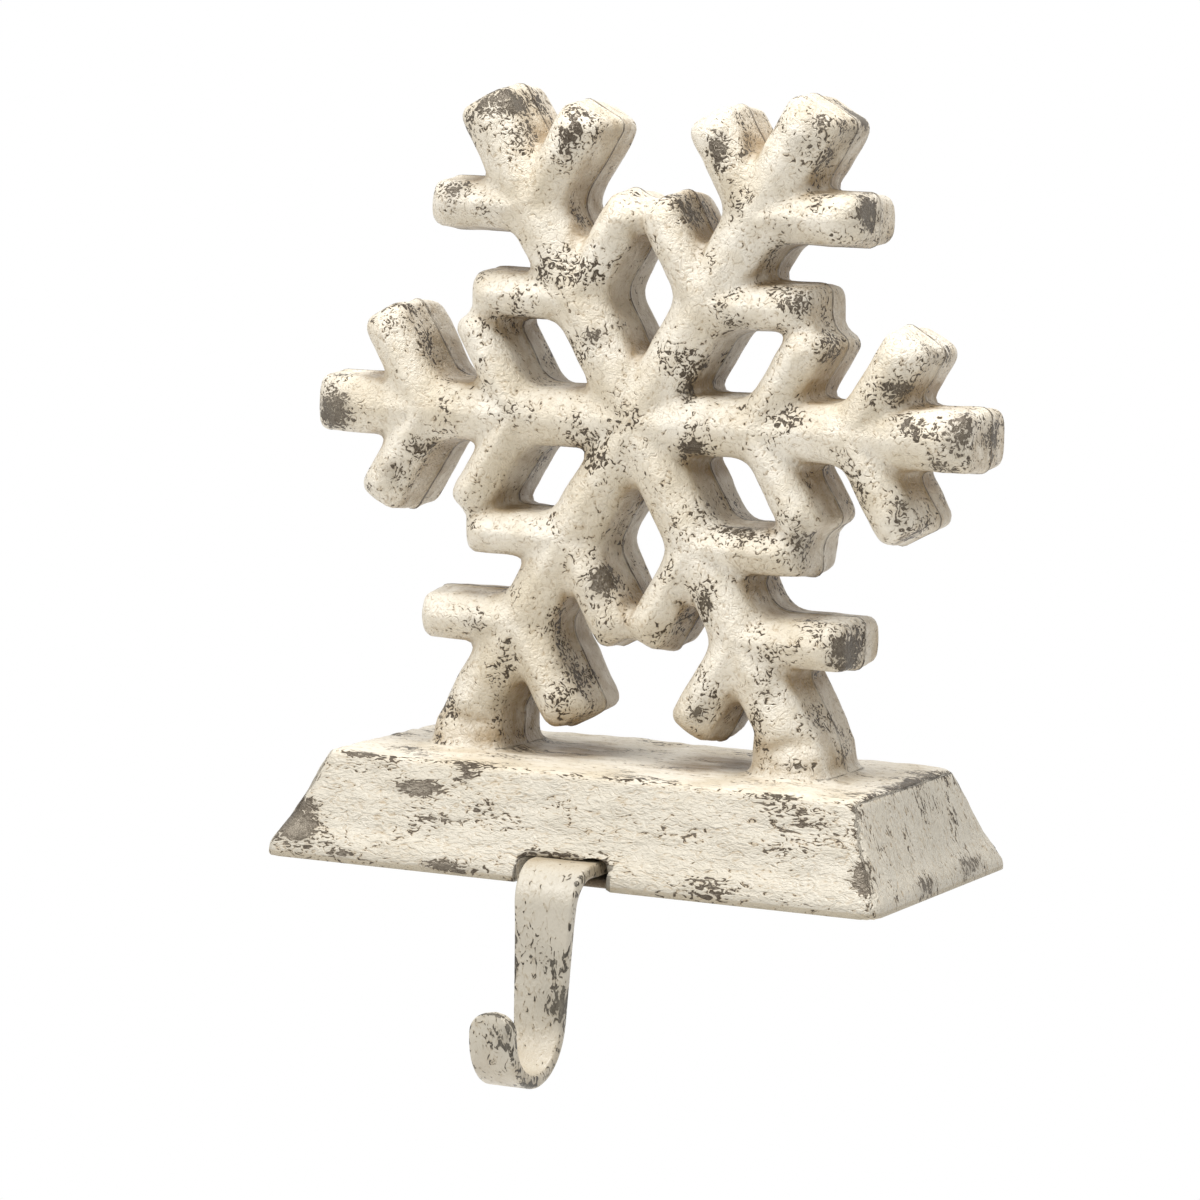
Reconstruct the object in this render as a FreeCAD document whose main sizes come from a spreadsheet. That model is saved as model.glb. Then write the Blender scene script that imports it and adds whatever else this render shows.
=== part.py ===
import FreeCAD, Part
import math
import os

# Mantel stocking holder: a cast snowflake on a weighted block that stands on a
# shelf, with a bent steel hook screwed under the block and a felt pad below.
# Millimetres.  X runs along the shelf, Y away from the room, Z up, and the
# origin lies in the middle of the pad's underside, on the shelf.

SIZES = (
    # the block that stands on the shelf
    ("base_length", 150.0, "length of the block at the bottom"),
    ("base_depth", 83.4, "depth of the block at the bottom"),
    ("base_top_length", 131.0, "length of the block at the top"),
    ("base_top_depth", 61.4, "depth of the block at the top"),
    ("base_top_z", 24.6, "height of the block's top above the shelf"),
    ("base_lip", 1.6, "height of the upright lip round the foot of the block"),
    ("base_ledge", 0.4, "how far the lip stands out beyond the slopes"),
    ("base_corner_round", 3.0, "rounding of the four sloping corners"),
    ("base_edge_round", 1.6, "rounding of the top edges"),
    # the hollow under the block
    ("base_wall", 9.0, "wall round the hollow, measured from the block's top outline"),
    ("base_roof", 9.5, "metal left above the hollow"),
    ("boss_length", 26.0, "length of the boss that the hook is screwed to"),
    ("boss_back", 20.0, "how far behind the middle the boss reaches"),
    # the felt pad
    ("pad_inset", 5.6, "distance of the pad from the block's outline"),
    ("pad_thick", 1.8, "thickness of the felt"),
    ("pad_proud", 0.3, "how far the felt stands below the metal"),
    ("pad_clear", 0.2, "play between the felt and its recess"),
    ("pad_corner", 4.0, "corner radius of the felt"),
    # the snowflake
    ("leg_end_height", 4.55, "height of the legs' tips above the block"),
    ("flake_middle_y", 1.8, "place of the snowflake's parting plane"),
    ("flake_thick", 30.8, "thickness of the snowflake"),
    ("arm_width", 15.0, "width of an arm"),
    ("inner_branch_place", 31.4, "from the middle to the inner branches"),
    ("inner_branch_length", 26.9, "their length"),
    ("inner_branch_width", 11.9, "their width"),
    ("branch_spacing", 23.3, "from the inner branches on to the outer ones"),
    ("outer_branch_length", 26.1, "their length"),
    ("outer_branch_width", 12.6, "their width"),
    ("arm_tip_reach", 29.3, "from the outer branches on to the arm's tip"),
    ("level_arm_short", 2.0, "how much nearer the middle all this lies on the level arms"),
    ("branch_angle", 60.0, "angle between a branch and its arm"),
    ("draft_angle", 3.8, "draft from the parting plane, in degrees"),
    ("flake_corner", 4.8, "radius of the outer corners in front view"),
    ("flake_valley", 2.4, "radius of the inner corners in front view"),
    ("flake_rim", 3.5, "rounding of the front and back edges"),
    ("flash_proud", 0.3, "how far the parting seam stands proud"),
    ("flash_thick", 0.9, "thickness of the parting seam"),
    # the feet of the snowflake
    ("foot_inner_x", 30.4, "inner side of each foot, from the middle"),
    ("foot_outer_x", 50.5, "outer side of each foot, from the middle"),
    ("foot_sunk", 6.0, "how far a foot runs down into the block"),
    ("foot_fillet", 2.0, "fillet round each foot"),
    # the notch that the hook comes out of
    ("notch_width", 22.0, "width of the notch"),
    ("notch_round", 2.3, "radius of its upper corners"),
    # the hook
    ("strip_width", 16.2, "width of the hook's strip at the tail"),
    ("strip_waist_width", 12.8, "width where the leg's taper eases"),
    ("strip_waist_z", 17.0, "how far below the shelf the taper eases"),
    ("strip_bend_width", 11.6, "width at the bottom of the hook"),
    ("strip_tip_width", 10.5, "width at the tip"),
    ("strip_thick", 3.2, "thickness of the strip"),
    ("tail_top_z", 6.2, "upper side of the tail, against the boss"),
    ("tail_back", 17.0, "how far behind the middle the tail reaches"),
    ("leg_front_y", 50.4, "distance of the leg's front face from the middle"),
    ("leg_lean", 2.5, "lean of the leg, in degrees"),
    ("shoulder_radius", 6.2, "inner radius of the bend at the shelf's edge"),
    ("hook_radius", 10.2, "inner radius of the hook"),
    ("hook_low_z", 40.7, "how far the hook hangs below the shelf"),
    ("hook_angle", 178.0, "how far the hook curls round, in degrees"),
    ("tip_rise", 4.6, "straight length at the tip"),
    ("tip_round", 4.4, "corner radius of the tip"),
    # the screws that hold the hook
    ("screw_size", 4.0, "diameter of the screws"),
    ("screw_head", 8.0, "diameter of their countersunk heads"),
    ("screw_length", 11.0, "length of the screws"),
    ("screw_front", 20.0, "place of the front screw before the middle"),
    ("screw_rear", 8.0, "place of the rear screw behind the middle"),
    ("screw_clear", 0.05, "play round a screw in its hole"),
    ("screw_slot", 1.1, "width of the driver slot"),
)


# points nearer than this are one point
TOUCH = 0.01


def make_sheet(doc):
    """Keep the driving dimensions in a spreadsheet, one alias to a row."""
    sheet = doc.addObject("Spreadsheet::Sheet", "sizes")
    for row, (name, value, note) in enumerate(SIZES, start=1):
        sheet.set("A%d" % row, name)
        sheet.set("B%d" % row, repr(value))
        sheet.setAlias("B%d" % row, name)
        sheet.set("C%d" % row, note)
    doc.recompute()
    return sheet


def vector(x, y, z):
    return FreeCAD.Vector(x, y, z)


def bind(thing, **expressions):
    """Tie properties of an object to the sheet: <name> stands for its cell."""
    for name, expression in expressions.items():
        thing.setExpression(name, expression.replace("<", "sizes.").replace(">", ""))


def place(thing, x="0", y="0", z="0"):
    """Tie the place of an object to the sheet."""
    for axis, expression in (("x", x), ("y", y), ("z", z)):
        bind(thing, **{"Placement.Base." + axis: expression})


def box(doc, name, length, width, height, x, y, z):
    """A block whose sizes and place are expressions."""
    block = doc.addObject("Part::Box", name)
    bind(block, Length=length, Width=width, Height=height)
    place(block, x, y, z)
    return block


def cut(doc, name, base, tool):
    result = doc.addObject("Part::Cut", name)
    result.Base = base
    result.Tool = tool
    result.Refine = True
    return result


def fuse(doc, name, things):
    result = doc.addObject("Part::MultiFuse", name)
    result.Shapes = things
    result.Refine = True
    return result


def round_edges(doc, name, base, radius, wanted):
    """Fillet the edges of base for which wanted(edge) is true."""
    doc.recompute()
    rounded = doc.addObject("Part::Fillet", name)
    rounded.Base = base
    edges = []
    for number, edge in enumerate(base.Shape.Edges, start=1):
        if wanted(edge):
            edges.append((number, radius, radius))
    rounded.Edges = edges
    return rounded


def lies_at(edge, axis, value):
    """True where every end of the edge has the given coordinate."""
    return all(abs(getattr(v.Point, axis) - value) < TOUCH for v in edge.Vertexes)


# The snowflake: its outline is the union of straight bars, rounded corner by
# corner, and each half is drawn in towards its face by the mould's draft.

ARMS = 6
ARM_SPREAD = 360 / ARMS
# a rounding takes at most this share of a straight side
ROUND_SHARE = 0.45
# the rim's rounding stays this much smaller than the corners that it runs round
RIM_MARGIN = 0.1

def turn(a, b):
    """Cross product of two directions in the plane of the snowflake."""
    return a.x * b.z - a.z * b.x


def loop_area(points):
    pairs = zip(points, points[1:] + points[:1])
    return sum(turn(a, b) for a, b in pairs) / 2


def flat_face(points):
    """A face from its corners, turned so that all such faces point one way."""
    if loop_area(points) < 0:
        points = points[::-1]
    return Part.Face(Part.makePolygon(points + points[:1]))


def arm_length(size):
    """Length of an arm from the middle of the snowflake to its tip."""
    return size.inner_branch_place + size.branch_spacing + size.arm_tip_reach


def bar_face(x, z, angle, length, width):
    """A flat bar that starts at x, z and runs along the angle."""
    along = vector(math.cos(angle), 0, math.sin(angle))
    across = vector(-math.sin(angle), 0, math.cos(angle)) * (width / 2)
    start = vector(x, 0, z)
    end = start + along * length
    return flat_face([start + across, end + across, end - across, start - across])


def foot_face(size, side):
    """The foot below a leg: upright inside, and a little flared outside."""
    leg = math.radians(ARM_SPREAD)
    half = size.arm_width / 2
    tip_x = arm_length(size) * math.cos(leg)
    tip_z = -arm_length(size) * math.sin(leg)
    low_x = tip_x - half * math.sin(leg)
    low_z = tip_z - half * math.cos(leg)
    knee_z = low_z + (low_x - size.foot_inner_x) * math.tan(leg)
    bottom = tip_z - size.leg_end_height - size.foot_sunk
    outer = vector(side * (tip_x + half * math.sin(leg)), 0, tip_z + half * math.cos(leg))
    return flat_face([
        outer,
        vector(side * size.foot_inner_x, 0, knee_z),
        vector(side * size.foot_inner_x, 0, bottom),
        vector(side * size.foot_outer_x, 0, bottom),
    ])


def flake_face(size):
    """Six arms with two pairs of branches each, and two feet, as one face."""
    faces = []
    branch = math.radians(size.branch_angle)
    outer_place = size.inner_branch_place + size.branch_spacing
    pairs = (
        (size.inner_branch_place, size.inner_branch_length, size.inner_branch_width),
        (outer_place, size.outer_branch_length, size.outer_branch_width),
    )
    for number in range(ARMS):
        angle = math.radians(ARM_SPREAD * number)
        level = number % (ARMS // 2) == 0
        short = size.level_arm_short if level else 0
        faces.append(bar_face(0, 0, angle, arm_length(size) - short, size.arm_width))
        for place, reach, width in pairs:
            along = place - short
            x = along * math.cos(angle)
            z = along * math.sin(angle)
            faces.append(bar_face(x, z, angle + branch, reach, width))
            faces.append(bar_face(x, z, angle - branch, reach, width))
    faces.append(foot_face(size, -1))
    faces.append(foot_face(size, 1))
    joined = faces[0].fuse(faces[1:]).removeSplitter()
    return joined.Faces[0]


def inset_corners(points, metal_left, inset, corner, valley):
    """The loop moved into the metal by inset: each corner and its rounding.

    Gives the sharp corner, the directions before and after it, half the angle
    between them, the radius, and whether the corner stands out of the metal.
    """
    side = 1 if metal_left else -1
    count = len(points)
    along = [(points[(i + 1) % count] - points[i]).normalize() for i in range(count)]
    moved = [
        points[i] + vector(-along[i].z, 0, along[i].x) * (side * inset)
        for i in range(count)
    ]
    sharp = []
    for i in range(count):
        before, after = along[i - 1], along[i]
        reach = turn(moved[i] - moved[i - 1], after) / turn(before, after)
        sharp.append(moved[i - 1] + before * reach)
    corners = []
    for i in range(count):
        before, after = along[i - 1], along[i]
        outward = turn(before, after) * side > 0
        wanted = corner - inset if outward else valley + inset
        half = math.acos(max(-1.0, min(1.0, before * after))) / 2
        shorter = min((sharp[i] - sharp[i - 1]).Length, (sharp[(i + 1) % count] - sharp[i]).Length)
        radius = min(wanted, ROUND_SHARE * shorter / math.tan(half))
        corners.append((sharp[i], before, after, half, radius, outward))
    return corners


def rounded_loop(points, metal_left, inset, corner, valley, y):
    """The loop moved into the metal by inset, with an arc at every corner."""
    arcs = []
    for sharp, before, after, half, radius, _ in inset_corners(points, metal_left, inset, corner, valley):
        back = radius * math.tan(half)
        inward = (after - before).normalize()
        middle = sharp + inward * (radius / math.cos(half) - radius)
        ends = (sharp - before * back, middle, sharp + after * back)
        arcs.append([vector(p.x, y, p.z) for p in ends])
    count = len(arcs)
    edges = []
    for i in range(count):
        edges.append(Part.Arc(*arcs[i]).toShape())
        edges.append(Part.LineSegment(arcs[i][2], arcs[(i + 1) % count][0]).toShape())
    return Part.Wire(edges)


def flake_slab(loops, near, far, corner, valley):
    """A slab between two planes, each given as its y and its inset."""
    slab = None
    for points, metal_left in loops:
        wires = [
            rounded_loop(points, metal_left, inset, corner, valley, y)
            for y, inset in (near, far)
        ]
        block = Part.makeLoft(wires, True, True)
        slab = block if slab is None else slab.cut(block)
    return slab


def flake_loops(size):
    """Corner points of the outline and of the holes, the outline first."""
    face = flake_face(size)
    loops = [[vertex.Point for vertex in wire.OrderedVertexes] for wire in face.Wires]
    loops.sort(key=lambda points: -abs(loop_area(points)))
    result = []
    for number, points in enumerate(loops):
        leftward = loop_area(points) > 0
        result.append((points, leftward if number == 0 else not leftward))
    return result


def flake_shape(size):
    """Two drafted halves with rounded rims, and the seam between them."""
    loops = flake_loops(size)
    half_thick = size.flake_thick / 2
    draft = half_thick * math.tan(math.radians(size.draft_angle))
    rounding = (size.flake_corner, size.flake_valley)
    smallest = min(
        radius
        for points, metal_left in loops
        for *_, radius, outward in inset_corners(points, metal_left, draft, *rounding)
        if outward)
    rim = min(size.flake_rim, smallest - RIM_MARGIN)
    front = flake_slab(loops, (0, 0), (-half_thick, draft), *rounding)
    edges = [edge for edge in front.Edges if lies_at(edge, "y", -half_thick)]
    front = front.makeFillet(rim, edges)
    back = front.mirror(vector(0, 0, 0), vector(0, 1, 0))
    half_seam = size.flash_thick / 2
    proud = -size.flash_proud
    seam = flake_slab(loops, (-half_seam, proud), (half_seam, proud), *rounding)
    return front.fuse([back, seam])


def make_flake(doc, size):
    flake = doc.addObject("Part::Feature", "snowflake")
    flake.Shape = flake_shape(size)
    arm = "(<inner_branch_place> + <branch_spacing> + <arm_tip_reach>)"
    height = "<base_top_z> + <leg_end_height> + %s * sin(%g deg)" % (arm, ARM_SPREAD)
    place(flake, y="<flake_middle_y>", z=height)
    return flake


# The block under the snowflake.

def frustum(doc, name, bottom_z, top_z, bottom, top):
    """A block with four sloping sides, centred on the origin."""
    wedge = doc.addObject("Part::Wedge", name)
    # a wedge grows along its own Y, so it is turned to stand up
    for near, far, span in (
            ("Xmin", "Xmax", bottom[0]), ("Zmin", "Zmax", bottom[1]),
            ("X2min", "X2max", top[0]), ("Z2min", "Z2max", top[1])):
        bind(wedge, **{near: "-(%s) / 2" % span, far: "(%s) / 2" % span})
    bind(wedge, Ymin=bottom_z, Ymax=top_z)
    wedge.Placement = FreeCAD.Placement(
        vector(0, 0, 0), FreeCAD.Rotation(vector(1, 0, 0), 90))
    return wedge


def rises(edge):
    """True for an edge that isn't level."""
    first, last = edge.firstVertex().Point, edge.lastVertex().Point
    return abs(first.z - last.z) > TOUCH


def make_block(doc, size):
    """The sloping block on its upright lip, both with rounded corners."""
    slope = frustum(
        doc, "base_slope", "<pad_proud> + <base_lip>", "<base_top_z>",
        ("<base_length> - 2 * <base_ledge>", "<base_depth> - 2 * <base_ledge>"),
        ("<base_top_length>", "<base_top_depth>"))

    def top_edge(edge):
        return lies_at(edge, "z", size.base_top_z)

    corners = round_edges(doc, "slope_corners", slope, size.base_corner_round, rises)
    rounded = round_edges(doc, "slope_rounded", corners, size.base_edge_round, top_edge)
    lip = box(
        doc, "lip_plate", "<base_length>", "<base_depth>", "<base_lip>",
        "-<base_length> / 2", "-<base_depth> / 2", "<pad_proud>")
    lip_rounded = round_edges(doc, "lip_rounded", lip, size.base_corner_round, rises)
    return fuse(doc, "base_block", [rounded, lip_rounded])


def make_hollow(doc, size):
    """The space inside the block: hollow, pad recess, notch and screw holes."""
    roof_z = "<base_top_z> - <base_roof>"
    seat_z = "<pad_thick>"
    hollow = box(
        doc, "base_hollow",
        "<base_top_length> - 2 * <base_wall>", "<base_top_depth> - 2 * <base_wall>",
        "<base_top_z> - <base_roof>",
        "-<base_top_length> / 2 + <base_wall>", "-<base_top_depth> / 2 + <base_wall>", "0")
    boss = box(
        doc, "hook_boss", "<boss_length>", "<base_depth> / 2 + <boss_back>",
        "<base_top_z> - <tail_top_z>",
        "-<boss_length> / 2", "-<base_depth> / 2", "<tail_top_z>")
    space = cut(doc, "hollow_round_boss", hollow, boss)
    recess = box(
        doc, "pad_recess",
        "<base_length> - 2 * <pad_inset>", "<base_depth> - 2 * <pad_inset>", seat_z,
        "-<base_length> / 2 + <pad_inset>", "-<base_depth> / 2 + <pad_inset>", "0")
    slot = box(
        doc, "notch_slot", "<notch_width>", "<base_depth> / 2 + <boss_back>", "<tail_top_z>",
        "-<notch_width> / 2", "-<base_depth> / 2", "0")

    def slot_corner(edge):
        along_y = edge.BoundBox.YLength > edge.BoundBox.XLength
        return along_y and lies_at(edge, "z", size.tail_top_z)

    notch = round_edges(doc, "hook_notch", slot, size.notch_round, slot_corner)
    holes = [
        screw_hole(doc, "front_hole", "-<screw_front>"),
        screw_hole(doc, "rear_hole", "<screw_rear>"),
    ]
    return fuse(doc, "base_spaces", [space, recess, notch] + holes)


def screw_hole(doc, name, y):
    """A threaded hole in the boss, drawn at the screw's diameter."""
    hole = doc.addObject("Part::Cylinder", name)
    bind(
        hole,
        Radius="<screw_size> / 2 + <screw_clear>",
        Height="<screw_length> + <screw_clear>",
    )
    place(hole, y=y, z="<tail_top_z> - <strip_thick>")
    return hole


def make_casting(doc, size):
    """Snowflake and block as one casting, with a fillet round each foot."""
    joined = fuse(doc, "casting_joined", [make_block(doc, size), make_flake(doc, size)])

    def foot_edge(edge):
        middle = edge.BoundBox.Center
        reach = size.foot_fillet
        on_top = lies_at(edge, "z", size.base_top_z)
        beside_foot = size.foot_inner_x - reach < abs(middle.x) < size.foot_outer_x + reach
        within_flake = abs(middle.y - size.flake_middle_y) < size.flake_thick / 2 + reach
        return on_top and beside_foot and within_flake

    footed = round_edges(doc, "casting_solid", joined, size.foot_fillet, foot_edge)
    casting = cut(doc, "holder_casting", footed, make_hollow(doc, size))
    casting.Label = "holder_casting"
    return casting


# The hook: one strip, bent down at the shelf's edge and round into a J.

def strip_steps(size):
    """Runs and bends of the strip's middle line, from the tail to the tip.

    The shoulder turns down by a right angle less the lean, the leg runs down
    until the bow begins, and the bow's lowest point hangs at hook_low_z.
    """
    half = size.strip_thick / 2
    lean = math.radians(size.leg_lean)
    shoulder = size.shoulder_radius + half
    bow = size.hook_radius + half
    tail_run = size.tail_back + size.leg_front_y - half - shoulder * math.cos(lean)
    leg_top = size.tail_top_z - half - shoulder * (1 - math.sin(lean))
    leg_foot = -size.hook_low_z + half + bow * (1 - math.sin(lean))
    leg_run = (leg_top - leg_foot) / math.cos(lean)
    return (
        (tail_run, 0, 0),
        (0, shoulder, size.leg_lean - 90),
        (leg_run, 0, 0),
        (0, bow, size.hook_angle),
        (size.tip_rise, 0, 0),
    )


def strip_side(size, offset, backward):
    """Edges of one side of the strip, offset to the left of its middle line."""
    y = -size.tail_back
    z = size.tail_top_z - size.strip_thick / 2
    angle = 0.0
    edges = []

    def point(forward, up):
        return vector(0, -forward, up)

    for run, radius, degrees in strip_steps(size):
        left = (-math.sin(angle), math.cos(angle))
        start = point(y + left[0] * offset, z + left[1] * offset)
        if run:
            y += run * math.cos(angle)
            z += run * math.sin(angle)
            end = point(y + left[0] * offset, z + left[1] * offset)
            edges.append(Part.LineSegment(start, end).toShape())
            continue
        side = 1 if degrees > 0 else -1
        centre = (y + side * left[0] * radius, z + side * left[1] * radius)
        swing = math.radians(degrees)
        arc = [start]
        for share in (0.5, 1.0):
            heading = angle + swing * share
            out = (side * math.sin(heading), -side * math.cos(heading))
            reach = radius - side * offset
            arc.append(point(centre[0] + out[0] * reach, centre[1] + out[1] * reach))
        edges.append(Part.Arc(*arc).toShape())
        angle += swing
        y = centre[0] + side * math.sin(angle) * radius
        z = centre[1] - side * math.cos(angle) * radius
    return edges[::-1] if backward else edges


def strip_profile(size):
    """The side view of the bent strip in the plane x = 0, and its two tip points."""
    half = size.strip_thick / 2
    upper = strip_side(size, half, False)
    lower = strip_side(size, -half, True)
    tail = Part.LineSegment(lower[-1].Vertexes[0].Point, upper[0].Vertexes[0].Point)
    tip = (upper[-1].Vertexes[-1].Point, lower[0].Vertexes[-1].Point)
    edges = upper + [Part.LineSegment(*tip).toShape()] + lower + [tail.toShape()]
    return Part.Face(Part.Wire(Part.__sortEdges__(edges))), tip


def mirrored_face(points):
    """A flat face from its right-hand points, mirrored in the plane x = 0."""
    other = [vector(-p.x, p.y, p.z) for p in reversed(points)]
    return Part.Face(Part.makePolygon(points + other + points[:1]))


def strip_front(size):
    """Front view of the strip: wide at the tail, easing in down the leg."""
    top = size.tail_top_z
    low = -size.hook_low_z
    return mirrored_face([
        vector(size.strip_width / 2, 0, top),
        vector(size.strip_width / 2, 0, top - size.strip_thick),
        vector(size.strip_waist_width / 2, 0, -size.strip_waist_z),
        vector(size.strip_bend_width / 2, 0, low),
    ])


def strip_plan(size):
    """Plan of the strip: the upturned end narrows towards its tip."""
    tip_y = -size.leg_front_y - 2 * size.hook_radius - 2 * size.strip_thick
    bow_y = -size.leg_front_y - size.hook_radius
    return mirrored_face([
        vector(size.strip_width / 2, size.tail_back, 0),
        vector(size.strip_width / 2, -size.leg_front_y, 0),
        vector(size.strip_bend_width / 2, bow_y, 0),
        vector(size.strip_tip_width / 2, tip_y, 0),
    ])


def strip_solid(size):
    """The bent strip, tapered in front view and towards its tip."""
    wide = size.strip_width
    bent, tip = strip_profile(size)
    bent.translate(vector(-wide / 2, 0, 0))
    bent = bent.extrude(vector(wide, 0, 0))
    reach = size.leg_front_y + 2 * size.hook_radius + 3 * size.strip_thick
    front = strip_front(size)
    front.translate(vector(0, -reach, 0))
    front = front.extrude(vector(0, reach + size.tail_back, 0))
    plan = strip_plan(size)
    plan.translate(vector(0, 0, -size.hook_low_z))
    plan = plan.extrude(vector(0, 0, size.hook_low_z + size.tail_top_z))
    strip = bent.common(front).common(plan).removeSplitter()

    def tip_end(vertex):
        """Which of the two tip points the vertex lies beside, if any."""
        for number, point in enumerate(tip):
            if math.hypot(vertex.Y - point.y, vertex.Z - point.z) < TOUCH:
                return number
        return None

    corners = [
        edge for edge in strip.Edges
        if {tip_end(vertex) for vertex in edge.Vertexes} == {0, 1}
    ]
    return strip.makeFillet(size.tip_round, corners)


def countersink(doc, name, y):
    """A screw's hole through the tail, with the cone for its head."""
    shank = doc.addObject("Part::Cylinder", name + "_shank")
    bind(shank, Radius="<screw_size> / 2 + <screw_clear>", Height="2 * <strip_thick>")
    place(shank, y=y, z="<tail_top_z> - 1.5 * <strip_thick>")
    cone = head_cone(doc, name + "_cone", y)
    return fuse(doc, name, [shank, cone])


def head_cone(doc, name, y):
    """The countersunk head's cone, flush with the underside of the tail."""
    cone = doc.addObject("Part::Cone", name)
    bind(
        cone, Radius1="<screw_head> / 2", Radius2="<screw_size> / 2",
        Height="(<screw_head> - <screw_size>) / 2",
    )
    place(cone, y=y, z="<tail_top_z> - <strip_thick>")
    return cone


def make_hook(doc, size):
    """The strip with its two countersunk holes."""
    strip = doc.addObject("Part::Feature", "hook_strip")
    strip.Shape = strip_solid(size)
    holes = fuse(doc, "hook_holes", [
        countersink(doc, "front_sink", "-<screw_front>"),
        countersink(doc, "rear_sink", "<screw_rear>"),
    ])
    hook = cut(doc, "hook", strip, holes)
    hook.Label = "hook"
    return hook


def make_screws(doc):
    """Two countersunk screws, up through the tail into the boss."""
    screws = []
    for name, y in (("front", "-<screw_front>"), ("rear", "<screw_rear>")):
        shank = doc.addObject("Part::Cylinder", name + "_screw_shank")
        bind(shank, Radius="<screw_size> / 2", Height="<screw_length>")
        place(shank, y=y, z="<tail_top_z> - <strip_thick>")
        head = head_cone(doc, name + "_screw_head", y)
        body = fuse(doc, name + "_screw_body", [shank, head])
        slot = box(
            doc, name + "_screw_slot", "<screw_head>", "<screw_slot>", "<screw_slot>",
            "-<screw_head> / 2", "%s - <screw_slot> / 2" % y, "<tail_top_z> - <strip_thick>")
        screws.append(cut(doc, name + "_screw", body, slot))
    pair = fuse(doc, "hook_screws", screws)
    pair.Label = "hook_screws"
    return pair


# The felt pad under the block.

def make_pad(doc, size):
    """A sheet of felt in the recess, a little proud of the metal."""
    play = "2 * <pad_inset> - 2 * <pad_clear>"
    sheet = box(
        doc, "pad_sheet", "<base_length> - " + play, "<base_depth> - " + play, "<pad_thick>",
        "-(<base_length> - %s) / 2" % play, "-(<base_depth> - %s) / 2" % play, "0")

    pad = round_edges(doc, "base_pad", sheet, size.pad_corner, rises)
    pad.Label = "base_pad"
    return pad


class Sizes:
    """The sheet's values by name, for shapes that are worked out in code."""

    def __init__(self, sheet):
        for name, _, _ in SIZES:
            setattr(self, name, float(sheet.get(name)))


def check(doc, parts):
    """Stop if any object failed or any sub-part has no sound shape."""
    for thing in doc.Objects:
        if "Invalid" in thing.State or "Error" in thing.State:
            raise RuntimeError("%s failed: %s" % (thing.Name, thing.State))
    for part in parts:
        if part.Shape.isNull() or not part.Shape.isValid():
            raise RuntimeError("%s has no valid shape" % part.Label)


def main():
    doc = FreeCAD.newDocument("stocking_holder")
    sheet = make_sheet(doc)
    size = Sizes(sheet)
    parts = [
        make_casting(doc, size),
        make_hook(doc, size),
        make_screws(doc),
        make_pad(doc, size),
    ]
    doc.recompute()
    check(doc, parts)
    os.makedirs("parts", exist_ok=True)
    for part in parts:
        part.Shape.exportStep("parts/%s.step" % part.Label)
        print(part.Label, len(part.Shape.Solids), round(part.Shape.Volume), part.Shape.BoundBox)


main()
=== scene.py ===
"""Looks of a mantel stocking holder: a cast snowflake on a sloping block, in worn
cream paint, with a bent strip hook and a felt pad.

Shapes are worked out in millimetres in the frame's own axes and turned to metres
when a mesh is made.
"""

import math

import bpy
import numpy as np
from mathutils import Matrix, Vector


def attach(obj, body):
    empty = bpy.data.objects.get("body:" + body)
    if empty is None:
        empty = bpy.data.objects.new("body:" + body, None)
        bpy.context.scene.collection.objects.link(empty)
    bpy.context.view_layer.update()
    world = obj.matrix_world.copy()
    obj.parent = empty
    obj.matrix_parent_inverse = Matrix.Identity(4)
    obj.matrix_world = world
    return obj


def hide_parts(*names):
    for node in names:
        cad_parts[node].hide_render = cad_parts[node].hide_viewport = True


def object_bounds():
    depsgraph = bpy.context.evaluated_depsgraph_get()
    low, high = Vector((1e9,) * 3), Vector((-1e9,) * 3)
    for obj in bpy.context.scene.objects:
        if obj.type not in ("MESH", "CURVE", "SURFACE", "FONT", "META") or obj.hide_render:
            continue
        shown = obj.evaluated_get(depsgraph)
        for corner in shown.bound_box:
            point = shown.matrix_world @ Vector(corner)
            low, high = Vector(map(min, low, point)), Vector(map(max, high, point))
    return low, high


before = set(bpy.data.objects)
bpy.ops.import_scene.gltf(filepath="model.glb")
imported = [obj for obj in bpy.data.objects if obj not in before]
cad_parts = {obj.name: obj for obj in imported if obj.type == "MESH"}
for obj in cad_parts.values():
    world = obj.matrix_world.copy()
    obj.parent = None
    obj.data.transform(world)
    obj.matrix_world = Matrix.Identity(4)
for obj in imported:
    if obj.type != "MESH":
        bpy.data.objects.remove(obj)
cad_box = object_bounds()

MM = 0.001

# Sizes of the block, in millimetres. Its slopes stand back from the lip by the ledge
# and swell out a little above it.
BLOCK_BOTTOM = (150.0, 83.4)
BLOCK_TOP = (131.0, 61.4)
BLOCK_TOP_Z = 24.6
BLOCK_LOW_Z = 0.3
LIP_TOP_Z = 1.9
LIP_ROUND = 0.7
BLOCK_ROUND = 1.5
BLOCK_CORNER = 4.0
LEDGE = 0.1
SWELL = 0.7
SWELL_Z = 4.5
SWELL_REACH = 3.0
BLOCK_WALL = 9.0
ROOF_Z = 15.1
PAD_INSET = 5.6
PAD_TOP_Z = 1.8
NOTCH_WIDTH = 22.0
NOTCH_TOP_Z = 6.2
NOTCH_ROUND = 2.3
BOSS_WIDTH = 26.0
BOSS_BACK_Y = 20.0
BOSS_ROUND = 0.6
HOLLOW_ROUND = 2.0
RECESS_ROUND = 0.4

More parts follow.
